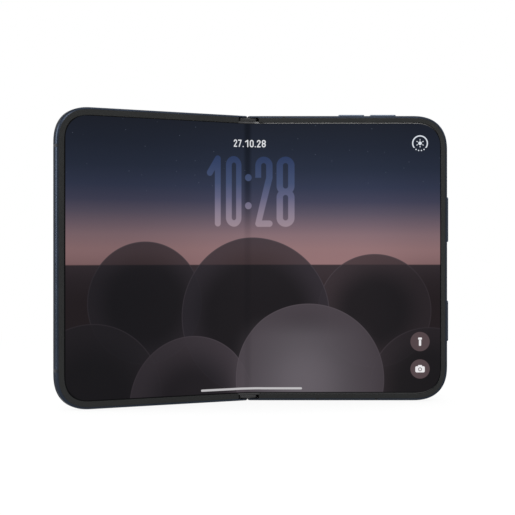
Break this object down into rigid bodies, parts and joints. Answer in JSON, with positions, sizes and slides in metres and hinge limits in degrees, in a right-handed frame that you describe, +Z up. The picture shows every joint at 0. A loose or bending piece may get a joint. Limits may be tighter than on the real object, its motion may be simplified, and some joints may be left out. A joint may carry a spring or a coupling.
{
  "type": "foldable smartphone",
  "caption": "Book-style folding phone, half open and standing on edge, with a geared two-pivot hinge, folding inner screen, side buttons and a rear camera plateau.",
  "frame": {"origin": "centre of the bounding box in plan, on the surface that the phone stands on, with the halves folded 27 degrees from flat", "axes": "+X across the phone towards the edge with the power button, +Y from the inner screen of the main half to its back, +Z up along the hinge"},
  "size_m": [0.1618, 0.0464, 0.121],
  "materials": {
    "frame_metal": "satin",
    "antenna_plastic": "matte",
    "bezel_plastic": "matte",
    "back_glass": "matte",
    "outer_glass": "gloss",
    "inner_screen": "gloss",
    "outer_screen": "gloss",
    "backing_steel": "satin",
    "hinge_steel": "satin",
    "battery_pouch": "matte",
    "board_green": "matte",
    "copper": "satin",
    "module_black": "matte",
    "bright_metal": "satin",
    "flash_plastic": "gloss"
  },
  "bodies": {
    "main_half": {"main_frame": "frame_metal", "main_bezel": "bezel_plastic", "main_back_glass": "back_glass", "main_backing_plate": "backing_steel", "main_screen_panel": "inner_screen", "main_antenna_bands": "antenna_plastic", "main_battery": "battery_pouch", "logic_board": "board_green", "board_shields": "backing_steel", "board_screws": "hinge_steel", "wide_camera": "module_black", "ultrawide_camera": "module_black", "camera_plateau": "frame_metal", "lens_rings": "bright_metal", "lens_covers": "outer_glass", "flash_window": "flash_plastic", "port_shell": "bright_metal", "port_tongue": "module_black", "main_speaker": "module_black", "vibration_motor": "backing_steel", "button_switches": "bright_metal", "main_magnets": "backing_steel", "main_hinge_arms": "hinge_steel", "main_arm_screws": "hinge_steel"},
    "spine": {"spine_cover": "frame_metal", "spine_base": "hinge_steel", "spine_end_caps": "frame_metal", "hinge_shafts": "hinge_steel", "idler_shafts": "hinge_steel", "disc_springs": "hinge_steel", "friction_washers": "copper", "fold_strip": "inner_screen", "hinge_flex_cable": "copper"},
    "cover_half": {"cover_frame": "frame_metal", "cover_bezel": "bezel_plastic", "cover_glass": "outer_glass", "cover_screen_panel": "outer_screen", "cover_backing_plate": "backing_steel", "cover_inner_panel": "inner_screen", "cover_antenna_bands": "antenna_plastic", "cover_battery": "battery_pouch", "sub_board": "board_green", "selfie_camera": "module_black", "cover_speaker": "module_black", "cover_magnets": "backing_steel", "cover_hinge_arms": "hinge_steel", "cover_arm_screws": "hinge_steel"},
    "main_wing": {"main_wing_plate": "hinge_steel"},
    "cover_wing": {"cover_wing_plate": "hinge_steel"},
    "main_idlers": {"main_idler_gears": "hinge_steel"},
    "cover_idlers": {"cover_idler_gears": "hinge_steel"},
    "volume_up": {"volume_up_button": "frame_metal"},
    "volume_down": {"volume_down_button": "frame_metal"},
    "power": {"power_button": "frame_metal"},
    "camera_control": {"camera_button": "frame_metal"}
  },
  "joints": [
    {"name": "spine_fold", "type": "hinge", "parent": "main_half", "child": "spine", "pos_m": [-0.00189, 0.01694, 0], "axis": [0, 0, 1], "range_deg": [-13.5, 76.5], "deforming": ["fold_strip", "hinge_flex_cable"]},
    {"name": "cover_fold", "type": "hinge", "parent": "spine", "child": "cover_half", "pos_m": [-0.00676, 0.01578, 0], "axis": [0, 0, 1], "range_deg": [-13.5, 76.5]},
    {"name": "main_wing_tip", "type": "hinge", "parent": "main_half", "child": "main_wing", "pos_m": [0.00361, 0.01589, 0], "axis": [0, 0, 1], "range_deg": [-24.58, 4.42]},
    {"name": "cover_wing_tip", "type": "hinge", "parent": "cover_half", "child": "cover_wing", "pos_m": [-0.01118, 0.01234, 0], "axis": [0, 0, 1], "range_deg": [-4.42, 24.58]},
    {"name": "main_idler_turn", "type": "hinge", "parent": "spine", "child": "main_idlers", "pos_m": [-0.0036, 0.01696, 0], "axis": [0, 0, 1], "range_deg": [-13.5, 76.5]},
    {"name": "cover_idler_turn", "type": "hinge", "parent": "spine", "child": "cover_idlers", "pos_m": [-0.00525, 0.01656, 0], "axis": [0, 0, 1], "range_deg": [-76.5, 13.5]},
    {"name": "volume_up_press", "type": "slide", "parent": "main_half", "child": "volume_up", "axis": [0, 0, -1], "range_m": [0, 0.00015], "stiffness_N_per_m": 800, "springref_m": -0.0003},
    {"name": "volume_down_press", "type": "slide", "parent": "main_half", "child": "volume_down", "axis": [0, 0, -1], "range_m": [0, 0.00015], "stiffness_N_per_m": 800, "springref_m": -0.0003},
    {"name": "power_press", "type": "slide", "parent": "main_half", "child": "power", "axis": [-1, 0, 0], "range_m": [0, 0.00015], "stiffness_N_per_m": 800, "springref_m": -0.0003},
    {"name": "camera_press", "type": "slide", "parent": "main_half", "child": "camera_control", "axis": [-1, 0, 0], "range_m": [0, 0.00015], "stiffness_N_per_m": 800, "springref_m": -0.0003}
  ],
  "couplings": [
    {"joint": "cover_fold", "follows": "spine_fold", "ratio": 1},
    {"joint": "main_wing_tip", "follows": "spine_fold", "ratio": -0.32},
    {"joint": "cover_wing_tip", "follows": "spine_fold", "ratio": 0.32},
    {"joint": "main_idler_turn", "follows": "spine_fold", "ratio": 1},
    {"joint": "cover_idler_turn", "follows": "spine_fold", "ratio": -1}
  ]
}
